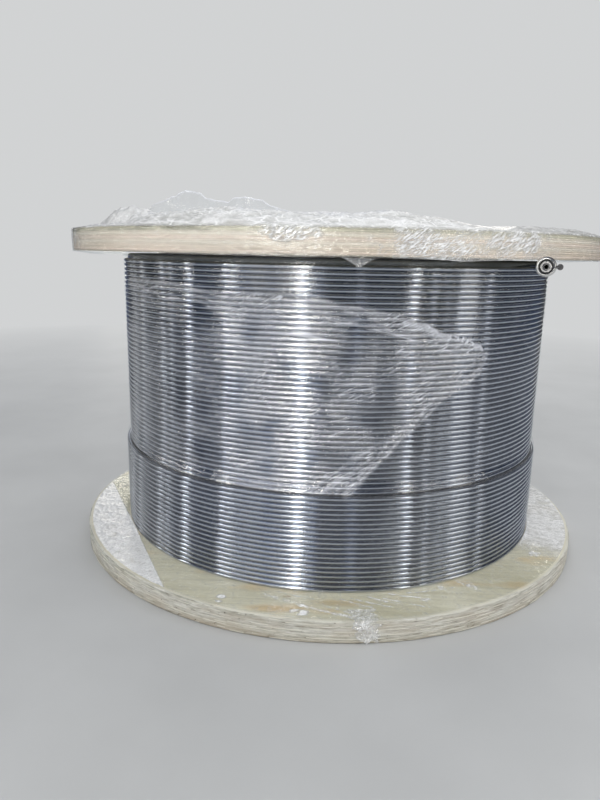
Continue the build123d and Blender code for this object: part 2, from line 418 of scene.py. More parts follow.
def plywood(name, base, tone, wear, stains=()):
    """Plywood: face veneer on the flat sides, and the plies' edges round the rim, worn by 0 to 1."""
    f = Finish(name)
    x, y, z = f.split(f.place)
    up = f.split(f.node("NewGeometry", result="Normal"))[2]
    grain = f.noise(f.place, (3.84, 81.6, 2.4), 6, 0.6, 0.6)
    veneer = veneer_colour(f, grain, x, y, stains)
    # light and dark plies with thin glue lines
    ply = (z - base) * (PLIES / BED) + (f.noise(f.uv, (5, 20, 1), 2) - 0.5) * 0.30
    glue = abs(f.math("FRACT", ply) - 0.5) < 0.42
    odd = f.math("FRACT", ply * 0.5) < 0.5
    fibre = f.noise(f.uv, (26, 900, 1), 4, 0.6)
    pores = f.noise(f.uv, (420, 700, 1), 3, 0.7)
    long_ply = f.ramp(fibre, (0.3, (0.76, 0.715, 0.65)), (0.7, (0.92, 0.88, 0.82)))
    end_ply = f.ramp(pores, (0.3, (0.60, 0.55, 0.475)), (0.65, (0.84, 0.79, 0.71)))
    edge = f.mix(odd, long_ply, end_ply)
    # each ply has a tone of its own, and the glue lines differ
    which = f.join(base, 0.0, f.math("FLOOR", ply) * 3.31)
    pair = f.join(base, 0.0, f.math("FLOOR", ply * 0.46) * 5.17)
    own, band = (
        f.node("TexWhiteNoise", {"Vector": at}, "Value", noise_dimensions="3D") for at in (which, pair)
    )
    casts = (
        (0.0, (0.80, 0.83, 0.71)), (0.3, (1.0, 1.0, 0.97)), (0.6, (1.0, 0.90, 0.86)),
        (0.85, (1.0, 0.97, 0.89)), (1.0, (0.88, 0.89, 0.84)),
    )
    edge = f.times(edge, f.ramp(band, *casts))
    edge = f.mix(glue, f.mix(own * 0.55 + 0.30, edge, (0.26, 0.20, 0.14)), edge)
    patch = f.ramp(f.noise(f.uv, (3.5, 30, 1), 4), (0.35, (0.82, 0.81, 0.78)), (0.62, (1.0, 0.985, 0.975)))
    edge = f.times(edge, patch)
    # dirt in streaks along the top ply, most at the left; the foot is darker, part dirt and part painted
    # shade under the rim
    streak = f.fade(f.noise(f.uv, (9, 60, 1), 4, 0.6), 0.44, 0.54, 0.05, 0.95)
    streak = streak * ((x * -2.5 + 0.1).clamped() * 0.6 + 0.4)
    top_ply = ((ply - (PLIES - 2.7)) * 0.9).clamped()
    edge = f.mix(top_ply * streak, edge, (0.28, 0.27, 0.19))
    # painted shade and dirt: the lowest ply is darkened for the shade under the rim
    foot = (1.0 - ply * 1.1).clamped()
    edge = f.mix(foot * 0.75, edge, (0.36, 0.34, 0.25))
    # general wear with dark specks, and painted shade that makes the rim duller and bluer towards the left,
    # where it turns from the light
    scars = f.noise(f.uv, (22, 190, 1), 5, 0.7)
    worn = f.ramp(scars, (0.34, (0.26, 0.24, 0.20)), (0.45, (0.70, 0.68, 0.62)), (0.62, (0.98, 0.965, 0.92)))
    chalk = f.fade(f.noise(f.uv, (7, 26, 1), 4, 0.65), 0.40, 0.58, 0.45, 0.95)
    edge = f.mix(chalk * wear, edge, worn)
    edge = f.times(edge, f.ramp(ply / PLIES, (0.02, (0.74, 0.71, 0.64)), (0.40, grey(1.0))), wear)
    specks = f.ramp(f.noise(f.place, 75.0, 3, 0.7), (0.30, (0.16, 0.13, 0.10)), (0.37, grey(1.0)))
    edge = f.times(edge, specks, 0.35 + 0.5 * wear)
    # painted shade: the rim's far left is darker and bluer
    dull = f.ramp(((x + RIM) * 4.0).clamped(), (0.0, (0.83, 0.87, 0.90)), (1.0, grey(1.0)))
    edge = f.times(f.times(edge, dull), tone)
    # painted shade: the underside's veneer is darkened for the deep shade under each flange
    veneer = f.mix(up < -0.8, veneer, f.times(veneer, (0.30, 0.29, 0.26)))
    colour = f.mix(abs(up) > 0.8, edge, veneer)
    height = grain * 0.6 + pores * 0.6 + scars * (2.2 * wear)
    return f.surface(f.principled(colour, grain * 0.2 + 0.5, f.bump(height, 0.0007, 0.6)))


# Folds that run to the tip of the wedge: how many round it, breaks along them, sharpness and strength
TIP_FOLDS = ((26.0, 5.0, 34.0, 0.70), (52.0, 9.0, 40.0, 0.62), (15.0, 3.0, 24.0, 0.7))


def tip_folds(f, u, v, tip):
    """Tight folds that run to the tip, short slanting creases and sparks, from 0 to 1."""
    across, along = u - tip[0], v - tip[1]
    turn = f.math("ARCTAN2", along, across * -1.0)
    reach = f.length(f.join(across, along))
    folds = None
    for seed, (spin, run, sharp, share) in enumerate(TIP_FOLDS):
        where = f.join(turn * spin, reach * run, 3.7 * seed)
        off = abs(f.noise(where, 1.0, 1.5, 0.5, 0.3) - 0.5)
        gate = f.fade(f.noise(where, 0.9, 1, 0.5), 0.50, 0.62)
        line = (1.0 - off * sharp).clamped() * gate * share
        folds = line if folds is None else folds.most(line)
    nick = f.fade(f.noise(f.slanted(f.uv, radians(26)), (30, 340, 1), 2, 0.6), 0.55, 0.585)
    cluster = f.fade(f.noise(f.place, 12.0, 2), 0.49, 0.57)
    spark = f.fade(f.noise(f.uv, (170, 420, 1), 1, 0.5), 0.655, 0.70, 0.0, 0.9)
    return folds.most((nick * cluster).most(spark))


def film(name, roughness, gloss, wrinkle, strength, edge=0.5,
         tip=None, facets=None, dashes=None, longer=None):
    """Clear stretch film: mostly transparent, glossy at a slant, and milky by the attribute haze.
    With a tip, a place on the coil as arc and height, it lies in the grooves between turns and tight folds
    run to the tip, both by the attribute stretch. With facets, cells for each metre, it is crumpled. With
    dashes, an angle on the unrolled rim, short creases run at that slant by the attribute glint, and their
    milk-white is a painted glint.
    Longer makes its folds longer round the reel."""
    f = Finish(name)
    crumpled = facets is not None
    haze = f.attribute("haze")
    fine = f.noise(f.place, wrinkle, 3, 0.6, 0.8)
    ridge = abs(f.noise(f.place, wrinkle * 0.45, 3, 0.5, 1.2) - 0.5)
    height = fine * 0.4 + ridge
    speckle = f.fade(f.noise(f.place, wrinkle * 1.7, 4, 0.7), 0.35, 0.7, 0.70 if crumpled else 0.45)
    amount = (haze * speckle).clamped()
    shine_share = gloss
    if crumpled:
        ground = f.place if longer is None else f.stretched(f.uv, (longer, 1, 1))
        warp = f.node("TexNoise", {"Vector": ground, "Scale": facets * 0.6, "Detail": 2.0}, "Color")
        push = f.node("VectorMath", {0: warp, "Scale": 0.9 / facets}, operation="SCALE")
        bent = f.node("VectorMath", {0: ground, 1: push}, operation="ADD")
        cells, border = (
            f.node("TexVoronoi", {"Vector": bent, "Scale": facets}, "Distance", feature=kind)
            for kind in ("F1", "DISTANCE_TO_EDGE")
        )
        gate = f.fade(f.noise(ground, facets * 0.4, 2), 0.46, 0.58)
        crease = f.fade(border, 0.0, 0.07, 1.0, 0.0) * gate * haze
        amount = (amount + crease * 1.5).clamped()
        height = height + cells * 1.6
    # painted glints: the slanting streaks add milk-white as well as their gloss
    if dashes is not None:
        streak = f.fade(f.noise(f.slanted(f.uv, dashes), (56, 390, 1), 2, 0.6), 0.49, 0.55)
        other = f.fade(f.noise(f.slanted(f.uv, 0.35 * dashes), (38, 350, 1), 2, 0.6), 0.54, 0.59)
        streak = streak.most(other) * f.attribute("glint")
        amount = (amount + streak * 1.3).clamped()
        shine_share = streak * 0.25 + gloss
        height = height + streak * 1.5
    if tip is not None:
        u, v = f.split(f.uv)[:2]
        stretch = f.attribute("stretch")
        folds = tip_folds(f, u, v, tip) * stretch
        # the film touches each turn's crest; a milk-white, glossier band a little above it is a painted
        # highlight
        crest, lit = (f.math("COSINE", (v - (WIND_LOW + part * TUBE)) * (tau / TUBE)) for part in (0.5, 0.70))
        height = (height + folds * 2.0) * (stretch * 1.3 + 0.35) + crest * (stretch * 1.3)
        # opaque folds hide the turns, and open film shows them
        open_part = 1.0 - ((haze - 0.36) * 3.0).clamped()
        lit = lit.most(0.0) ** 3.0 * stretch * open_part
        swell = (crest * 0.34 - 0.20) * open_part
        amount = (amount * (swell + 1.0)).clamped()
        # painted highlight: milk is added in a band above each crest
        amount = (amount + lit * 0.52).clamped()
        amount = (amount + folds * 0.85).clamped()
        shine_share = stretch * 0.12 + gloss + lit * 0.45
    normal = f.bump(height, strength)
    clear = f.node("BsdfTransparent", {"Color": (0.97, 0.98, 0.985)})
    shine = f.glossy(roughness, normal)
    facing = f.node("LayerWeight", {"Blend": 0.5, "Normal": normal}, "Facing")
    slant = (facing ** 5.0 * edge + shine_share).clamped()
    thin = f.blend(slant, clear, shine)
    if tip is not None:
        thin = f.blend(stretch * 0.10, thin, f.glossy(0.25, normal))
    if crumpled:
        milk = f.principled(grey(0.98), 0.25, f.bump(height, strength * 0.35))
        milk = f.blend(slant * 0.6, milk, shine)
    else:
        milk = f.principled((0.88, 0.90, 0.97), 0.25, normal)
    return f.surface(f.blend(amount, thin, milk))


# The tube: one length, wound in 64 turns that show, and its free end

UP = np.array([0, 0, 1.0])
OUT = polar(1.0, TAIL_AZIMUTH)
ALONG = np.array([OUT[1], -OUT[0], 0])
TAIL_START = OUT * (FULL_RADIUS - TUBE / 2 - TAIL_TUCK) + UP * (WIND_HIGH - TUBE / 2 - TAIL_TUCK)
# Small waves of the winding: turns of angle, phase and size
WAVES = ((7.31, 0.7, 0.10), (12.87, 2.1, 0.085), (19.23, 4.4, 0.06), (31.41, 1.2, 0.035), (47.77, 3.3, 0.018))
# Angles round the tube's section, closer together on the side that shows
SECTION = np.radians([-104, -84, -64, -46, -28, -10, 8, 26, 44, 62, 82, 104, 180])


def tube_path():
    """Points along the tube's middle, from the first turn up to the free end, with outward direction."""
    first = CROSSING - TAIL_AZIMUTH
    crossings = first + tau * np.arange(TURNS - 1)
    start = first + tau * (TURNS - 1) - CROSSING_WIDTH * 0.55
    t = np.linspace(start, 0, int((start / tau) * 118))
    rung = (TURNS - 1) - smooth_step((t[:, None] - crossings[None]) / CROSSING_WIDTH + 0.5).sum(1)
    drop = smooth_step(SHORT_TURNS - rung)
    ease = np.clip(t / 0.6, 0, 1)
    radius = FULL_RADIUS - TUBE / 2 + LAYER_RISE * drop - 0.0002
    radius += 0.001 * ease * sum(size * np.sin(spin * t + phase) for spin, phase, size in WAVES)
    height = WIND_LOW + TUBE / 2 + rung * TUBE
    height += 0.00035 * ease * sum(size * np.sin(1.37 * spin * t + 2 * phase) for spin, phase, size in WAVES)
    points = polar(radius, TAIL_AZIMUTH + t, height)
    length = np.concatenate([[0], np.cumsum(np.linalg.norm(np.diff(points, axis=0), axis=1))])
    return points, polar(1.0, TAIL_AZIMUTH + t), length


def rings(centres, outs, radius):
    """Points of the tube's section round each centre."""
    around = np.cos(SECTION)[None, :, None] * outs[:, None] + np.sin(SECTION)[None, :, None] * UP
    return centres[:, None] + radius * around


points, outward, length = tube_path()
steps = np.linspace(0, 1, 42)[1:] ** 1.15
settle = 1 - smooth_step(steps / 0.7)
tail = TAIL_START + np.outer(TAIL_LENGTH * steps, ALONG)
tail += np.outer(settle, OUT * (TAIL_TUCK - 0.0002) + UP * TAIL_TUCK)
points = np.vstack([points, tail])
outward = np.vstack([outward, np.repeat(OUT[None], len(tail), 0)])
length = np.concatenate([length, length[-1] + TAIL_LENGTH * steps])
# the wall at the open end: back into the bore and closed far inside
depths = np.array([0, 0.0005, 0.06, 0.16, 0.34, 0.44])
hollow = np.array([TUBE / 2 - WALL] * 5 + [0.0003])[:, None, None]
inner = rings(points[-1] - np.outer(depths, ALONG), OUT[None], hollow)
skin = np.concatenate([rings(points, outward, TUBE / 2 - 0.00002), inner])
rows, cols = skin.shape[:2]
faces = quads(rows, cols, True)[:, ::-1].tolist()
faces += [list(range(cols))[::-1], list(range(rows * cols - cols, rows * cols))]
run = np.concatenate([length, np.repeat(length[-1], len(depths))])
uv = np.stack(grid(run, SECTION * TUBE / 2), -1)
steel_finish = steel(length[-1] - 0.001)
piece("tube_winding", steel_finish, "tube_steel", skin, faces, uv=uv, replaced=["tube_coil"], crisp=50)

# The layers inside, whose end turns show above and below
section = []
arc = np.linspace(pi, 0, 7)
for i in range(INNER_LAYERS):
    middle = BORE_RADIUS + TUBE / 2 + i * LAYER_RISE
    outermost = i == INNER_LAYERS - 1
    for a in arc if outermost else arc[:-1]:
        r = middle + TUBE / 2 * cos(a)
        if (outermost or r <= middle + LAYER_RISE / 2) and (i == 0 or r >= middle - LAYER_RISE / 2):
            section.append((r, WIND_HIGH - TUBE / 2 + TUBE / 2 * sin(a)))
low = [(r, WIND_LOW + WIND_HIGH - z) for r, z in section][::-1]
points, faces, uv = turned(section + low, 150)
piece("inner_layers", steel_finish, "tube_steel", points, faces[:, ::-1], uv=uv, crisp=60)


# The reel

def flange(base, top, groove_up, seed, rough):
    """A plywood disc with a worn, layered rim, its arbor bore and the groove for the barrel."""
    step = (top - base) / PLIES
    rim = []
    for i in range(PLIES):
        z = base + i * step
        rim += [(RIM - 0.0006, z), (RIM, z + 0.16 * step), (RIM, z + 0.84 * step)]
    rim.append((RIM - 0.0006, top))
    rim[:2] = [(RIM - 0.0032, base), (RIM - 0.0010, base + 0.0016)]
    rim[-2:] = [(RIM - 0.0010, top - 0.0016), (RIM - 0.0032, top)]
    spans = (ARBOR + 0.001, 0.30, 0.62, 0.70, 0.765)
    under = [(r, base) for r in spans]
    over = [(r, top) for r in spans[::-1]]
    slit = [(GROOVE_INNER, 0.0), (GROOVE_INNER, GROOVE_DEPTH)]
    slit += [(BORE_RADIUS, GROOVE_DEPTH), (BORE_RADIUS, 0.0)]
    if groove_up:
        over[3:3] = [(r, top - depth) for r, depth in slit[::-1]]
    else:
        under[2:2] = [(r, base + depth) for r, depth in slit]
    profile = under + rim + over + [(ARBOR, top - 0.001), (ARBOR, base + 0.001)]
    first, last = len(under), len(under) + len(rim)

    def wobble(angle, profile):
        dr = np.zeros((len(angle), len(profile)))
        dz = np.zeros_like(dr)
        circle = polar(RIM, angle)
        slow = field(circle, 3.0, 2, seed) * 0.0007
        for j in range(first, last):
            own = field(polar(RIM, angle, 0.31 * ((j - first) // 3)), 16.0, 2, seed + 7)
            dr[:, j] = slow + own * 0.00045 * rough
        for j, side in ((first, 1), (last - 1, -1)):
            chips = np.clip(field(circle, 22.0, 3, seed + 3 + side) - 0.50 + 0.07 * rough, 0, 1)
            dr[:, j] -= chips * 0.010
            dz[:, j] += side * chips * 0.003
            dr[:, j + side] -= chips * 0.006
        return np.minimum(dr, RIM + 0.0004 - profile[:, 0][None]), dz

    return turned(profile, 420, wobble)


# Stained places on the face veneer of the bottom flange: centre and half size along X and Y
STAINS = ((-0.130, -0.741, 0.080, 0.022), (0.035, -0.700, 0.075, 0.018), (0.40, 0.57, 0.10, 0.03))
bottom_finish = plywood("plywood_bottom", 0.0, (0.69, 0.69, 0.665), 1.0, STAINS)
top_finish = plywood("plywood_top", UNDER, (1.12, 1.09, 1.05), 0.12)
for side, base, top, groove_up, seed, rough, finish in (
    ("bottom", 0.0, BED, True, 11.0, 3.0, bottom_finish),
    ("top", UNDER, DECK, False, 29.0, 1.0, top_finish),
):
    points, faces, uv = flange(base, top, groove_up, seed, rough)
    piece("flange_" + side, finish, "plywood", points, faces, uv=uv, replaced=[side + "_flange"], crisp=32)

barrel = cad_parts["barrel"]
barrel.data.materials.clear()
barrel.data.materials.append(stave_wood())


# The end fitting

def lathe(profile, count=48, corners=None):
    """A closed profile of (radius, along) turned round a line. corners gives a hexagon's flats."""
    profile = np.asarray(profile, float)
    angle = np.linspace(0, tau, count, endpoint=False)
    r = np.repeat(profile[:, 0][None], count, 0)
    if corners is not None:
        flat = corners / 2 / np.cos((angle % (pi / 3)) - pi / 6)
        r = np.where(r > corners / 2 * 0.8, np.minimum(r, flat[:, None]), r)
    points = polar(r, angle[:, None], profile[:, 1][None])
    return points.reshape(-1, 3), quads(count, len(profile), True, True)


def rounded(inner, outer, length, edge, bevel=0.0012):
    """A ring's section with a rounded front edge."""
    arc = [(outer - edge + edge * sin(a), length - edge + edge * cos(a)) for a in np.linspace(pi / 2, 0, 6)]
    back = [(inner, bevel * 0.5), (inner + bevel * 0.5, 0.0), (outer - bevel, 0.0), (outer, bevel)]
    return back + arc + [(inner + 0.0012, length), (inner, length - 0.0012)]


def fitting(name, node, finish, slot_name, start, profile, count, crisp, corners=None, beside=0.0):
    """A turned piece on the free end's line, or beside it."""
    points, faces = lathe(profile, count, corners)
    points = (points + [beside, 0, 0]) @ np.array([OUT, UP, ALONG]) + TAIL_START + ALONG * start
    piece(name, finish, slot_name, points, faces, replaced=[node], crisp=crisp)


NUT = (
    (TUBE_HOLE, 0.0006), (0.0072, 0.0), (0.0112, 0.0), (0.0130, 0.0011),
    (0.0130, 0.0147), (0.0112, 0.0160), (0.0086, 0.0160), (TUBE_HOLE, 0.0148),
)
SCREW = (
    (0.0, 0.0), (0.0060, 0.0), (0.0065, 0.0006), (0.0065, 0.0125),
    (0.0055, 0.0140), (0.0034, 0.0140), (0.0034, 0.0095), (0.0, 0.0095),
)
fitting("fitting_collar", "end_collar", fitting_steel("collar_steel", (0.74, 0.74, 0.73), 0.30),
        "fitting_steel", COLLAR_BACK, rounded(0.0158, 0.0215, 0.012, 0.0046), 64, 40)
fitting("fitting_grommet", "end_grommet", rubber(),
        "black_rubber", GROMMET_BACK, rounded(TUBE_HOLE, 0.0155, 0.009, 0.002), 64, 40)
fitting("fitting_nut", "end_nut", fitting_steel("nut_steel", (0.42, 0.42, 0.42), 0.48),
        "fitting_steel", NUT_BACK, NUT, 72, 30, corners=0.0222)
fitting("fitting_screw", "clamp_screw", fitting_steel("screw_steel", (0.10, 0.10, 0.105), 0.50),
        "fitting_steel", COLLAR_BACK, SCREW, 40, 35, beside=SCREW_OUT)

# Washer, nut and rod end of a tie rod on the deck: section and width over the hexagon's flats
TIE_PARTS = (
    (((0.0090, 0.0004), (0.0215, 0.0004), (0.0225, 0.0012), (0.0215, 0.0030), (0.0090, 0.0030)), None),
    (((0.0082, 0.0030), (0.0125, 0.0030), (0.0145, 0.0045), (0.0145, 0.0140), (0.0125, 0.0158),
      (0.0082, 0.0158)), 0.0255),
    (((0.0, 0.0002), (0.0080, 0.0002), (0.0080, 0.0200), (0.0068, 0.0214), (0.0, 0.0214)), None),
)


def tie_nuts():
    """The tie rods' ends, on the deck inside the barrel's ring."""
    all_points, all_faces, count = [], [], 0
    for k in range(TIE_RODS):
        turn = 0.7 * k
        centre = polar(TIE_CIRCLE, tau * (k + 0.5) / TIE_RODS, DECK)
        for profile, corners in TIE_PARTS:
            points, faces = lathe(profile, 36, corners)
            x, y, z = points.T
            spun = [x * cos(turn) - y * sin(turn), x * sin(turn) + y * cos(turn), z]
            all_points.append(np.stack(spun, -1) + centre)
            all_faces.append(faces + count)
            count += len(points)
    return np.concatenate(all_points), np.concatenate(all_faces)


zinc = fitting_steel("zinc", (0.55, 0.55, 0.53), 0.38)
piece("tie_rod_nuts", zinc, "fitting_steel", *tie_nuts(), crisp=35)


# The film

def inside(x, y, corners):
    """Whether each point lies in a polygon."""
    out = np.zeros(len(x), bool)
    for (x1, y1), (x2, y2) in zip(corners, corners[1:] + corners[:1]):
        cross = (y1 > y) != (y2 > y)
        with np.errstate(divide="ignore", invalid="ignore"):
            at = (x2 - x1) * (y - y1) / (y2 - y1) + x1
        out ^= cross & (x < at)
    return out


def from_line(x, y, line):
    """Distance of each point from a line of points."""
    best = np.full(len(x), 9.0)
    for (x1, y1), (x2, y2) in zip(line[:-1], line[1:]):
        dx, dy = x2 - x1, y2 - y1
        s = np.clip(((x - x1) * dx + (y - y1) * dy) / (dx * dx + dy * dy), 0, 1)
        best = np.minimum(best, np.hypot(x - x1 - s * dx, y - y1 - s * dy))
    return best


# The thicker plies of film end in a wedge on the front: azimuth in degrees and height along its two edges
WEDGE_TOP = (
    (-150, 0.800), (-130, 0.802), (-112, 0.778), (-100.5, 0.791), (-92.4, 0.7785), (-82.4, 0.754),
    (-76, 0.7385), (-69.4, 0.710), (-59, 0.671), (-53.8, 0.648),
)
WEDGE_LOW = (
    (-53.8, 0.648), (-55.5, 0.604), (-60.9, 0.569), (-65.8, 0.539), (-70.3, 0.488), (-74.7, 0.448),
    (-82.9, 0.350), (-86, 0.318),
)
# Its opaque lump and the crinkled end of that, and the wedge's tip: arc on the coil and height
KNOT = ((-0.852, 0.728), (-0.801, 0.720), (-0.766, 0.702), (-0.738, 0.692))
KNOT_END = ((-0.738, 0.693), (-0.701, 0.690), (-0.664, 0.675), (-0.63, 0.662))
WEDGE_TIP = (radians(-51.5) * COIL_UNROLL, 0.632)
# Middle of the dense points on the coil's film, as a share of its height
DENSE = 0.72


def arc_line(line):
    return [(radians(azimuth) * COIL_UNROLL, z) for azimuth, z in line]


def coil_film():
    """The film stretched round the coil, with its points closest together at the wedge."""
    rows, cols = 150, 640
    s = np.linspace(0, 1, rows)
    s = s - 0.07 * (np.sin(tau * (s - DENSE)) - sin(tau * (1 - DENSE)))
    z = BED + 0.004 + s * (WIND_HIGH - 0.016 - BED - 0.004)
    angle = round_angles(cols)
    angle = angle - 0.55 * np.sin(angle) - pi / 2
    zz, aa = grid(z, np.sort((angle + pi) % tau - pi))
    arc = aa * COIL_UNROLL
    circle = polar(COIL_UNROLL, aa, zz)
    # long folds up to the right and to the left, stretched tight between the turns
    to_right = np.stack([arc * 0.42 - zz * 0.9, (arc * 0.9 + zz * 0.42) * 0.16, arc * 0 + 0.5], -1)
    to_left = np.stack([arc * 0.30 + zz * 0.95, (arc * 0.95 - zz * 0.30) * 0.12, arc * 0 + 2.5], -1)
    folds, cross = field(to_right, 42.0, 2, 3.0, True), field(to_left, 36.0, 2, 8.0, True)
    broad = field(circle, 5.0, 2, 1.0)
    top, low = arc_line(WEDGE_TOP), arc_line(WEDGE_LOW)
    back = (aa > radians(-20)) | (aa < radians(-158))
    thick = inside(arc, zz, [(-4.0, 0.802)] + top + low + [(-4.0, 0.318)])
    thick = thick | (back & (zz > SHORT_TOP + 0.01) & (zz < 0.80 + 0.02 * broad))
    edge = np.minimum(from_line(arc, zz, top), from_line(arc, zz, low))
    stray = [field(circle, 11.0, 3, seed) for seed in (50.0, 60.0, 70.0)]
    rope = bell(edge + 0.007 * stray[0], 0.0055)
    rope = np.maximum(rope, 0.75 * thick * bell(edge - 0.013 - 0.016 * stray[1], 0.0042))
    rope = np.maximum(rope, 0.55 * thick * bell(edge - 0.029 - 0.022 * stray[2], 0.0036))
    amount = np.where(thick, 1.0, 0.25)
    bridge = bell(zz - SHORT_TOP - 0.012, 0.012)
    lift = amount * 0.0006 * (peaks(folds, 3) + peaks(cross, 3)) + rope * (0.0012 + 0.001 * broad)
    lift += bridge * 0.0008
    near = np.clip((arc + 1.42) / 0.30, 0.25, 1) * np.where(back, 0.6, 1.0)
    band = bell(arc + 0.889, 0.027, 6) * (zz < 0.735)
    haze = np.where(thick, 0.060 + 0.05 * broad, 0.006) * near * (1 - 0.8 * band)
    haze += near * amount * (0.10 * peaks(folds, 9) + 0.07 * peaks(cross, 9))
    ragged = np.clip(0.75 + 0.9 * field(circle, 30.0, 2, 15.0), 0.15, 1.4)
    near_tip = bell(arc - radians(-63) * COIL_UNROLL, 0.10) * bell(zz - 0.688, 0.032)
    clumps = np.clip(0.2 + 1.6 * field(circle, 46.0, 3, 17.0), 0, 1)
    haze += rope * (0.46 + 0.10 * near_tip) * ragged + bridge * 0.06 + near_tip * thick * 0.22 * clumps
    knot = bell(from_line(arc, zz, KNOT) + 0.004 * stray[0], 0.0075, 4) * (0.70 + 0.25 * clumps)
    crinkled = np.clip(1.2 - 2.2 * np.abs(field(circle, 60.0, 2, 31.0)), 0, 1)
    knot = np.maximum(knot, bell(from_line(arc, zz, KNOT_END) + 0.005 * stray[1], 0.0085, 4) * crinkled)
    haze = np.maximum(haze, knot)
    patchy = np.clip(0.55 + 0.9 * field(circle, 11.0, 2, 21.0), 0, 1)
    stretch = np.where(thick, patchy * near * (1 - 0.6 * band), 0.06) + 0.6 * rope
    slope = np.clip((zz - SHORT_TOP) / 0.034, 0, 1)
    radius = SHORT_RADIUS + 0.0009 - LAYER_RISE * slope + 0.0025 * knot + lift
    values = {"haze": haze, "stretch": stretch}
    return polar(radius, aa, zz), quads(rows, cols, True), values, np.stack([arc, zz], -1)


finish = film("film_clear", 0.125, 0.035, 160.0, 0.0009, 0.10, WEDGE_TIP)
coil_wrap = piece("film_coil", finish, "stretch_film", *coil_film(), replaced=["film_wrap"])

# The second ply's edge on the bottom flange, from the coil to the rim
PLY_EDGE = ((-0.566, -0.339), (-0.391, -0.677))
# Crumpled spots on it, made bright with painted glints: azimuth, radius, half width in degrees, half depth
# and strength
GLINTS = (
    (-109.6, 0.742, 0.9, 0.009, 2.0), (-109.2, 0.762, 0.8, 0.006, 1.8), (-94.2, 0.756, 2.0, 0.014, 1.5),
    (-57.5, 0.70, 1.0, 0.034, 0.55), (-33.0, 0.715, 2.2, 0.016, 0.8), (-126.0, 0.69, 1.2, 0.006, 0.6),
    (-77.0, 0.705, 2.0, 0.005, 0.6), (-69.5, 0.715, 1.0, 0.008, 0.6), (-64.0, 0.676, 0.9, 0.006, 1.2),
    (60.0, 0.72, 9.0, 0.030, 0.30), (118.0, 0.73, 12.0, 0.028, 0.35), (150.0, 0.70, 5.0, 0.012, 0.4),
)
# Thin white folds on it: azimuth and radius of both ends, half width and strength
WISPS = (
    ((-102.0, 0.692), (-94.0, 0.722), 0.0060, 0.55), ((-94.0, 0.722), (-84.5, 0.768), 0.0060, 0.75),
    ((-90.0, 0.716), (-83.0, 0.762), 0.0035, 0.60), ((-86.5, 0.688), (-80.5, 0.728), 0.0026, 0.9),
    ((-84.0, 0.684), (-77.0, 0.730), 0.0026, 1.0), ((-80.5, 0.680), (-73.5, 0.732), 0.0026, 1.1),
    ((-77.5, 0.690), (-71.0, 0.742), 0.0026, 1.0), ((-76.0, 0.672), (-70.0, 0.704), 0.0026, 1.0),
    ((-72.0, 0.676), (-61.0, 0.690), 0.0030, 0.9), ((-100.0, 0.672), (-92.0, 0.690), 0.0030, 0.35),
    ((-59.0, 0.672), (-57.0, 0.742), 0.0030, 0.6), ((-24.0, 0.690), (-12.0, 0.745), 0.0040, 0.35),
    ((35.0, 0.69), (58.0, 0.76), 0.0040, 0.40), ((85.0, 0.76), (112.0, 0.68), 0.0040, 0.40),
    ((136.0, 0.69), (158.0, 0.75), 0.0040, 0.35),
)


def skirt_film():
    """The film that lies on the bottom flange, out to its rim."""
    rows, cols = 54, 1100
    ss, aa = grid(np.linspace(0, 1, rows), round_angles(cols))
    degrees = np.degrees(aa)
    inner = SHORT_RADIUS + CLEAR
    radius = inner + ss * (RIM - 0.008 + 0.003 * np.sin(3 * aa) - inner)
    circle = polar(radius, aa)
    folds = field(np.stack([aa * 9.0, radius * 6.0, aa * 0], -1), 2.4, 3, 5.0, True)
    wide = field(circle, 7.0, 3, 2.0)
    fine = field(circle, 34.0, 3, 9.0, True)
    grain = field(circle, 70.0, 2, 31.0)
    height = BED + 0.0008 + 0.0016 * peaks(folds, 3) + 0.0008 * (wide + 0.6) + 0.0007 * peaks(fine, 2)
    height += 0.006 * np.exp(-ss / 0.04)
    haze = 0.03 + 0.20 * peaks(folds, 6) + 0.30 * peaks(fine, 7) + 0.05 * peaks(wide, 1)
    # a second ply, whose straight edge shows at the front left and whose milk-white there is a painted
    # reflection of glare, and a paler stretch at the right
    x, y = circle[:, 0], circle[:, 1]
    (x1, y1), (x2, y2) = PLY_EDGE
    beyond = ((x - x1) * (y2 - y1) - (y - y1) * (x2 - x1)) / np.hypot(x2 - x1, y2 - y1)
    left = smooth_step(beyond / 0.004) * (x < 0) * smooth_step((0.20 - y) / 0.3)
    right = smooth_step((degrees + 36) / 12) * smooth_step((40 - degrees) / 20)
    # painted reflection: the second ply at the left is made milk-white for the glare on it
    haze += left * (1.0 + 0.35 * grain) + right * (0.84 + 0.30 * grain + 0.15 * wide)
    height += (left + 0.6 * right) * 0.0004 * grain
    # painted glints: milk is added at the crumpled spots
    for centre, middle, half, reach, share in GLINTS:
        off = ((degrees - centre) / half) ** 2 + ((radius - middle) / reach) ** 2
        haze += share * smooth_step(1.3 - off) * np.clip(0.55 + 1.1 * grain, 0, 1.3)
    for (from_at, from_radius), (to_at, to_radius), half, share in WISPS:
        course = np.clip((degrees - from_at) / (to_at - from_at), 0, 1)
        past_end = np.abs(degrees - from_at - course * (to_at - from_at)) * 0.013
        aside = radius - from_radius - course * (to_radius - from_radius) - 0.004 * wide
        haze += share * bell(np.hypot(aside, past_end), half) * np.clip(0.6 + grain, 0.1, 1.3)
    return polar(radius, aa, height), quads(rows, cols, True), {"haze": haze}


finish = film("film_glossy", 0.06, 0.09, 90.0, 0.0007, 1.0, facets=95.0)
skirt = piece("film_skirt", finish, "stretch_film", *skirt_film())


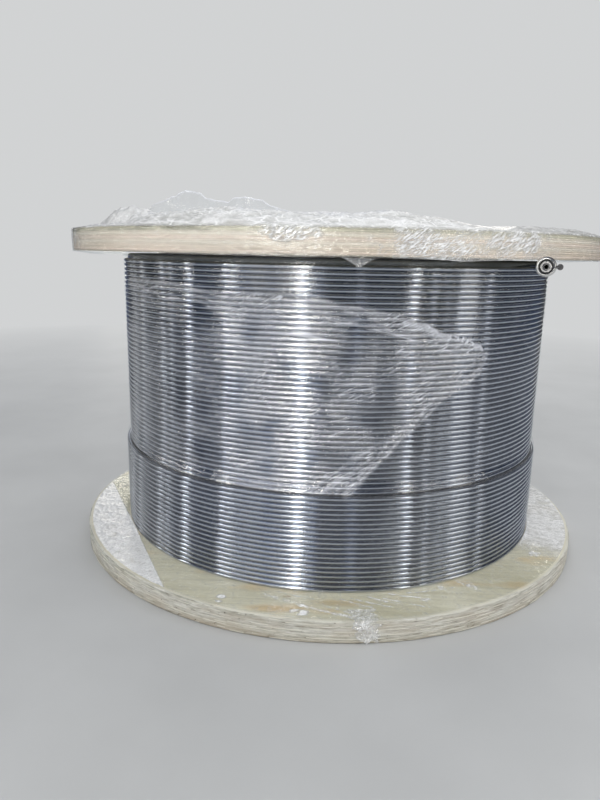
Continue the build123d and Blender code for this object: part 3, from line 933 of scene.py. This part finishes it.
def torn_film():
    """The crumpled end of film that hangs over the front of the bottom flange's rim."""
    rows, cols = 46, 48
    s, t = grid(np.linspace(0, 1, rows), np.linspace(-1, 1, cols))
    on_face, reach, start = 0.36, 0.046, BED + 0.0035
    ragged = 1 + 0.16 * np.sin(23 * s + 2) + 0.12 * np.sin(41 * s * np.sign(t))
    half = radians(2.5) * (1 - 0.30 * s) * ragged
    aa = radians(-83.2) + radians(1.1) * s + half * t
    fall = np.clip((s - on_face) / (1 - on_face), 0, 1)
    rr = RIM + 0.0020 - reach * (1 - np.clip(s / on_face, 0, 1))
    zz = start - fall * (start - 0.0012 - 0.010 * np.abs(np.sin(3.1 * t + 0.6)))
    base = polar(rr, aa, zz)
    crumple = field(base, 48.0, 3, 71.0, True)
    fine = field(base, 120.0, 2, 73.0, True)
    out = 0.0045 * peaks(crumple, 1) + 0.0015 * peaks(fine, 1)
    haze = (0.14 + 0.42 * peaks(crumple, 2) + 0.5 * peaks(fine, 3)) * (1.15 - 0.35 * np.abs(t))
    points = polar(rr + out * (fall > 0), aa, zz + 0.8 * out * (1 - fall))
    return points, quads(rows, cols), {"haze": haze}


finish = film("film_torn", 0.09, 0.12, 260.0, 0.0012, 0.4, facets=110.0)
torn = piece("film_torn_end", finish, "stretch_film", *torn_film())

# Height of the gathered film above the deck round the top, azimuth in degrees
CREST = (
    (-180, 0.010), (-165, 0.006), (-152, 0.004), (-149.5, 0.010), (-148, 0.024), (-144, 0.035), (-136, 0.043),
    (-133, 0.041), (-130, 0.031), (-126.5, 0.022), (-122, 0.028), (-118, 0.032), (-108, 0.034),
    (-100, 0.030), (-95, 0.024), (-87, 0.026), (-79, 0.031), (-73, 0.024), (-68, 0.014), (-62, 0.006),
    (-55, 0.011), (-44, 0.015), (-30, 0.014), (0, 0.024), (30, 0.032), (60, 0.022), (90, 0.034),
    (120, 0.020), (150, 0.026), (180, 0.010),
)
# Crumpled places on the rim, with painted glints: azimuth, half width in degrees, height, half height and
# strength
RIM_PATCHES = (
    (-96.0, 4.6, 0.921, 0.014, 1.3), (-78.0, 6.5, 0.905, 0.026, 0.55), (-69.0, 4.0, 0.892, 0.010, 0.45),
    (-61.0, 5.5, 0.910, 0.020, 0.85), (-160.0, 13.0, 0.905, 0.030, 0.40), (20.0, 14.0, 0.905, 0.024, 0.6),
    (95.0, 20.0, 0.910, 0.022, 0.5), (160.0, 12.0, 0.905, 0.024, 0.6),
)
# From here to there a second ply covers the rim, azimuth in degrees
SECOND_PLY = (-81.4, -46.0)
# Where the film hangs below the rim: azimuth, half width in degrees and depth
FLAPS = ((-86.2, 2.8, 0.021), (-70.0, 7.0, 0.004), (48.0, 5.0, 0.016), (130.0, 7.0, 0.012))
# Shares of the film's width at its crest and at the rim's upper edge
AT_CREST, AT_RIM = 0.40, 0.72


def top_film():
    """The film gathered on the top flange, drawn over its rim and down to its lower edge."""
    rows, cols = 58, 900
    angle = round_angles(cols)
    degrees = np.degrees(angle)
    circle = polar(1.0, angle)
    crest = np.maximum(np.interp(degrees, *zip(*CREST)) + 0.004 * field(circle, 9.0, 3, 6.0), 0.004)
    inner = 0.585 + 0.020 * field(circle, 3.5, 3, 4.0)
    middle = 0.700 + 0.010 * field(circle, 5.0, 2, 8.0)
    hem = UNDER - 0.0035 + 0.001 * field(circle, 6.0, 3, 12.0)
    for centre, half, depth in FLAPS:
        hem -= depth * np.clip(1 - np.abs(degrees - centre) / half, 0, 1) ** 1.4
    steep = smooth_step((-124 - degrees) / 10) * smooth_step((degrees + 178) / 8)
    s = np.linspace(0, 1, rows)[:, None]
    rise = np.clip(s / AT_CREST, 0, 1)
    over = np.clip((s - AT_CREST) / (AT_RIM - AT_CREST), 0, 1)
    down = np.clip((s - AT_RIM) / (1 - AT_RIM), 0, 1)
    fall = np.clip(over / (1 - 0.62 * steep), 0, 1)
    radii = (inner + rise * (middle - inner), middle + over * (RIM + 0.0016 - middle))
    humps = (CLEAR + crest * np.sin(rise * pi / 2) ** 1.3, 0.0015 + crest * np.cos(fall * pi / 2) ** 0.9)
    before = (s < AT_CREST, s < AT_RIM)
    r = np.select(before, radii, RIM + 0.0018)
    z = DECK + np.select(before, humps, 0.001 + down * (hem - DECK))
    steps = np.hypot(np.diff(r, axis=0), np.diff(z, axis=0))
    way = np.concatenate([np.zeros((1, cols)), np.cumsum(steps, 0)])
    soft, loose = 1 - smooth_step((s - 0.60) / 0.12), 1 - smooth_step((s - 0.705) / 0.03)
    brow, tall = bell(s - 0.42, 0.035), np.clip(crest / 0.03, 0.2, 1.4)
    parts = (angle, r, z, soft, loose, steep, brow, tall)
    aa, rr, zz, soft, loose, lump, brow, tall = filled((rows, cols), *parts)
    degrees, on_rim, base = np.degrees(aa), 1 - soft, polar(rr, aa, zz)
    crumple = round_field(aa, rr, zz, 13.0, 42.0, 4, 2.0)
    facets = round_field(aa, rr + 0.012 * crumple, zz, 34.0, 95.0, 3, 5.0)
    fine = field(base, 110.0, 2, 9.0, True)
    one, other = (
        field(polar(1.0, aa + swirl * (RIM - rr), 0.12 * rr), size, 2, seed, True)
        for swirl, size, seed in ((3.4, 15.0, 41.0), (-2.3, 19.0, 47.0))
    )
    pleat = peaks(np.maximum(one, other), 1)
    up = 0.0050 * (crumple - 0.2) + 0.0028 * (facets - 0.2) + 0.0045 * (pleat ** 2 - 0.3) + 0.0012 * fine
    out = on_rim * (0.0006 + 0.0016 * peaks(crumple, 2) + 0.0008 * peaks(facets, 2))
    haze = 0.52 + 0.35 * lump + 0.30 * brow + 0.42 * pleat ** 4 + 0.50 * peaks(crumple, 2)
    haze = loose * (haze + 0.80 * peaks(facets, 3))
    haze += 0.16 * np.clip((UNDER - 0.002 - zz) / 0.003, 0, 1) * on_rim
    torn = field(base, 30.0, 3, 33.0)
    patch = np.zeros(len(base))
    for centre, half, level, reach, share in RIM_PATCHES:
        off = ((degrees - centre) / half) ** 2 + ((zz - level) / reach) ** 2
        patch = np.maximum(patch, share * smooth_step(0.62 * (1.55 - off + 1.3 * torn)))
    second = smooth_step((degrees - SECOND_PLY[0]) / 0.3) * smooth_step((SECOND_PLY[1] - degrees) / 14)
    # painted glints on the crumpled patches and along the second ply
    glint = on_rim * (1.2 * patch + 0.36 * second * np.clip(0.5 + torn, 0, 1))
    haze += (1 - loose) * (0.015 + 0.09 * patch + 0.10 * second + 0.08 * peaks(fine, 7))
    out += on_rim * patch * 0.0014 * peaks(facets, 1)
    rr = rr + out + soft * 0.004 * facets * tall
    zz = np.maximum(zz + soft * tall * up, np.where(soft > 0.5, DECK + 0.0008, 0))
    uv = np.stack([aa * RIM, (way[-1] - way).ravel()], -1)
    return polar(rr, aa, zz), quads(rows, cols, True), {"haze": haze, "glint": glint}, uv


finish = film("film_crumpled", 0.09, 0.13, 240.0, 0.0014, 0.4, facets=75.0, dashes=radians(38), longer=0.45)
heap = piece("film_gather", finish, "stretch_film", *top_film(), replaced=["film_top"])


def under_film():
    """The film drawn in under the top flange, from its rim to the coil."""
    rows, cols = 26, 620
    s = np.linspace(0, 1, rows)[:, None]
    angle = round_angles(cols)
    degrees = np.degrees(angle)
    by_tail = smooth_step((degrees + 66) / 5) * smooth_step((-6 - degrees) / 5)
    away = 1 - by_tail
    inner = WIND_HIGH - 0.0006 + by_tail * (UNDER - 0.0030 - WIND_HIGH + 0.0006)
    sag = (0.0030 + 0.0022 * field(polar(1.0, angle), 5.0, 2, 41.0)) * away
    sag += 0.008 * bell(degrees + 72.5, 4.5)
    inward = np.clip(s / 0.9, 0, 1)
    drop = np.clip((s - 0.9) / 0.1, 0, 1) * away
    rr = RIM - 0.003 + inward * (FULL_RADIUS + 0.0052 - RIM) - 0.0006 * drop
    zz = UNDER - 0.0022 + inward * (inner - UNDER + 0.0022) - sag * np.sin(pi * inward) - 0.013 * drop
    aa, rr, zz, away = filled((rows, cols), angle, rr, zz, away)
    folds = field(np.stack([aa * 14.0, rr * 60.0, aa * 0], -1), 1.0, 3, 17.0, True)
    points = polar(rr, aa, zz - 0.0011 * peaks(folds, 1) * away)
    return points, quads(rows, cols, True), {"haze": 0.01 + 0.26 * peaks(folds, 7)}


finish = film("film_drawn", 0.12, 0.035, 120.0, 0.0008, 0.06)
under = piece("film_under", finish, "stretch_film", *under_film())

# Top edge of the thin film that stands up from the heap: azimuth in degrees and height
VEIL = (
    (-131.5, 0.958), (-129.7, 0.9686), (-128.6, 0.984), (-125.5, 0.992), (-121.4, 1.0036), (-119.1, 1.0136),
    (-117.6, 1.011), (-115.4, 1.006), (-114.3, 0.995), (-112.1, 0.990), (-109.6, 0.986), (-108.4, 0.996),
    (-106.1, 0.996), (-102.9, 0.9895), (-101.4, 0.979), (-98.7, 0.969), (-95, 0.956),
)


def veil_film():
    """The thin film that stands up from the heap at the front left."""
    rows, cols = 44, 190
    angle = np.radians(np.linspace(VEIL[0][0], VEIL[-1][0], cols))
    top = np.interp(np.degrees(angle), *zip(*VEIL)) + 0.0016 * field(polar(0.7, angle), 60.0, 2, 3.0)
    foot = DECK + 0.012
    s = np.linspace(0, 1, rows)[:, None]
    aa, zz, rise = filled((rows, cols), angle, foot + s * (top - foot), s)
    along = aa * 0.7
    folds = field(np.stack([along + 0.25 * (zz - DECK), 0.25 * zz, aa * 0], -1), 30.0, 3, 2.0, True)
    broad = field(np.stack([along, zz, aa * 0], -1), 14.0, 2, 6.0)
    rr = 0.712 - 0.020 * rise + 0.010 * broad + 0.005 * folds
    haze = 0.05 + 0.85 * peaks(folds, 10) + bell(1 - rise, 0.035) + 0.28 * np.exp(-rise / 0.18)
    return polar(rr, aa, zz), quads(rows, cols), {"haze": haze}


veil = piece("film_veil", film("film_thin", 0.08, 0.05, 160.0, 0.0008), "stretch_film", *veil_film())


# Floor, studio and camera

BACKGROUND = (0.64, 0.65, 0.655)


def floor():
    """A round floor that turns into the background far away."""
    f = Finish("floor")
    far = f.fade(f.length(f.place) * 0.1, 0.22, 0.62)
    colour = f.ramp(f.noise(f.place, 2.2, 3), (0.3, (0.50, 0.505, 0.505)), (0.7, (0.55, 0.555, 0.555)))
    glow = f.node("Emission", {"Color": BACKGROUND})
    finish = f.surface(f.blend(far * f.seen(), f.principled(colour, 0.6), glow))
    radii, cols = (0.0, 1.0, 2.0, 4.0, 8.0, 16.0, 60.0), 96
    rr, aa = grid(radii, np.linspace(0, tau, cols, endpoint=False))
    thing = new_object("floor", polar(rr, aa), quads(len(radii), cols, True), finish, {})


floor()

# What bright metal and film reflect: azimuth, half width in degrees, and strength of each tall window
WINDOWS = (
    (147, 1.0, 1.4), (157, 1.6, 2.0), (208, 9.0, 0.10), (222.4, 1.2, 6.5), (229, 4.5, 0.9), (237, 5.0, 1.25),
    (247, 4.5, 1.3), (251.6, 1.8, 3.0), (256.1, 1.9, 18.0), (262.0, 3.0, 1.1), (283, 1.2, 1.2),
    (308.2, 1.5, 4.0), (336.6, 4.0, 2.2), (341.6, 1.8, 1.8), (72, 2.0, 4.0), (83, 1.0, 2.5), (93, 4.0, 1.4),
    (104, 1.5, 5.0), (115, 2.2, 2.4),
)
# Small lamps at head height, each a dot on every turn: azimuth, half width in degrees, and strength
LAMPS = (
    (141, 0.8, 3.0), (176.6, 0.7, 11.0), (183.4, 0.6, 9.0), (196.0, 0.9, 19.0), (218.4, 0.8, 18.0),
    (309.4, 0.7, 12.0), (318.8, 0.6, 9.0), (325.6, 0.5, 5.0), (333.4, 0.5, 5.0), (351.0, 0.6, 9.0),
    (88, 0.8, 12.0),
)
LAMP_MIDDLE, LAMP_REACH = 1.5, 0.85
# Parts of the wall with a blue cast: azimuth and half width
COOL = ((205, 22), (240, 22), (279, 24), (15, 32), (100, 30))
# The wall's section, as radius and height
WALL_SECTION = [(6.0, z) for z in (0.0, 0.4, 0.7, 1.0, 1.3, 1.6, 1.9, 2.2, 2.6, 3.6)]
WALL_SECTION += [(5.6, 4.4), (4.6, 5.4), (3.0, 6.2), (0.6, 6.6), (0.0, 6.6)]


def studio():
    """A tall round wall of dim and bright bands that only reflections see."""
    f = Finish("studio_wall")
    level = f.attribute("level")
    dim = f.mix(f.attribute("cool"), (0.90, 0.92, 1.0), (0.40, 0.56, 1.0))
    colour = f.mix((level * 0.7).clamped(), dim, (1.0, 0.965, 0.89))
    finish = f.surface(f.node("Emission", {"Color": colour, "Strength": level}))
    degrees = np.arange(0, 360, 0.5)
    angle = np.radians(degrees)

    def away(centre):
        return np.abs((degrees - centre + 180) % 360 - 180)

    blue = np.max([smooth_step((half - away(centre)) / 8 + 0.5) for centre, half in COOL], axis=0)
    shine, spot = (
        sum(strength * bell(away(centre), half, 4) for centre, half, strength in bands)
        for bands in (WINDOWS, LAMPS)
    )
    shine += 0.015 + 0.06 * blue + 0.10 * (0.5 + 0.5 * np.sin(angle)) ** 4
    r, z = np.array(WALL_SECTION).T[..., None]
    levels = shine * np.clip(1.25 - z / 6.0, 0.12, 1.0) + spot * bell(z - LAMP_MIDDLE, LAMP_REACH, 4)
    values = {"level": np.where(z < 6, levels, 0.10), "cool": np.broadcast_to(blue, levels.shape)}
    thing = new_object("studio_wall", polar(r, angle, z), quads(*levels.shape, True), finish, values)
    for ray in ("camera", "diffuse", "shadow", "volume_scatter"):
        setattr(thing, "visible_" + ray, False)


studio()


def lamp(name, place, target, size, power):
    """A lamp with a rectangular face, turned to a target and left out of reflections."""
    light = bpy.data.lights.new(name, "AREA")
    light.shape = "RECTANGLE"
    light.size, light.size_y = size
    light.energy = power
    thing = bpy.data.objects.new(name, light)
    thing.location = place
    thing.rotation_euler = (Vector(target) - Vector(place)).to_track_quat("-Z", "Y").to_euler()
    bpy.context.scene.collection.objects.link(thing)
    thing.visible_glossy = False


lamp("key", (-0.7, -5.5, 4.2), (0, 0, 0.5), (3.6, 2.6), 190)
lamp("side", (4.6, -1.5, 3.4), (0, 0, 0.5), (2.6, 2.6), 60)
lamp("rear", (1.0, 5.0, 4.6), (0, 0, 0.6), (4.0, 2.4), 110)

# Soft light from all round, and the background that the camera sees
world = Finish("world", "World")
light, pale = (world.node("Background", {0: colour, 1: 1.0}) for colour in ((0.56, 0.575, 0.59), BACKGROUND))
bpy.context.scene.world = world.surface(world.blend(world.seen(), light, pale))

# The photo's view: focal length in pixels of a 600 by 800 frame, tilt, roll, turn, distance and height
FOCAL, PITCH, ROLL, YAW, DISTANCE, EYE = 641.3, 0.2260, 0.02023, -0.04647, 2.10746, 0.88176
SENSOR = 36
forward = Vector((sin(YAW) * cos(PITCH), cos(YAW) * cos(PITCH), -sin(PITCH)))
right = Vector((cos(YAW), -sin(YAW), 0))
upward = right.cross(forward)
right, upward = cos(ROLL) * right + sin(ROLL) * upward, -sin(ROLL) * right + cos(ROLL) * upward
camera_data = bpy.data.cameras.new("camera")
camera_data.sensor_width = SENSOR
camera_data.lens = SENSOR * FOCAL / 800
camera = bpy.data.objects.new("camera", camera_data)
facing = Matrix((right, upward, -forward)).transposed().to_4x4()
camera.matrix_world = Matrix.Translation((0, -DISTANCE, EYE)) @ facing
bpy.context.scene.collection.objects.link(camera)
bpy.context.scene.camera = camera
bpy.context.scene.view_settings.view_transform = "Standard"
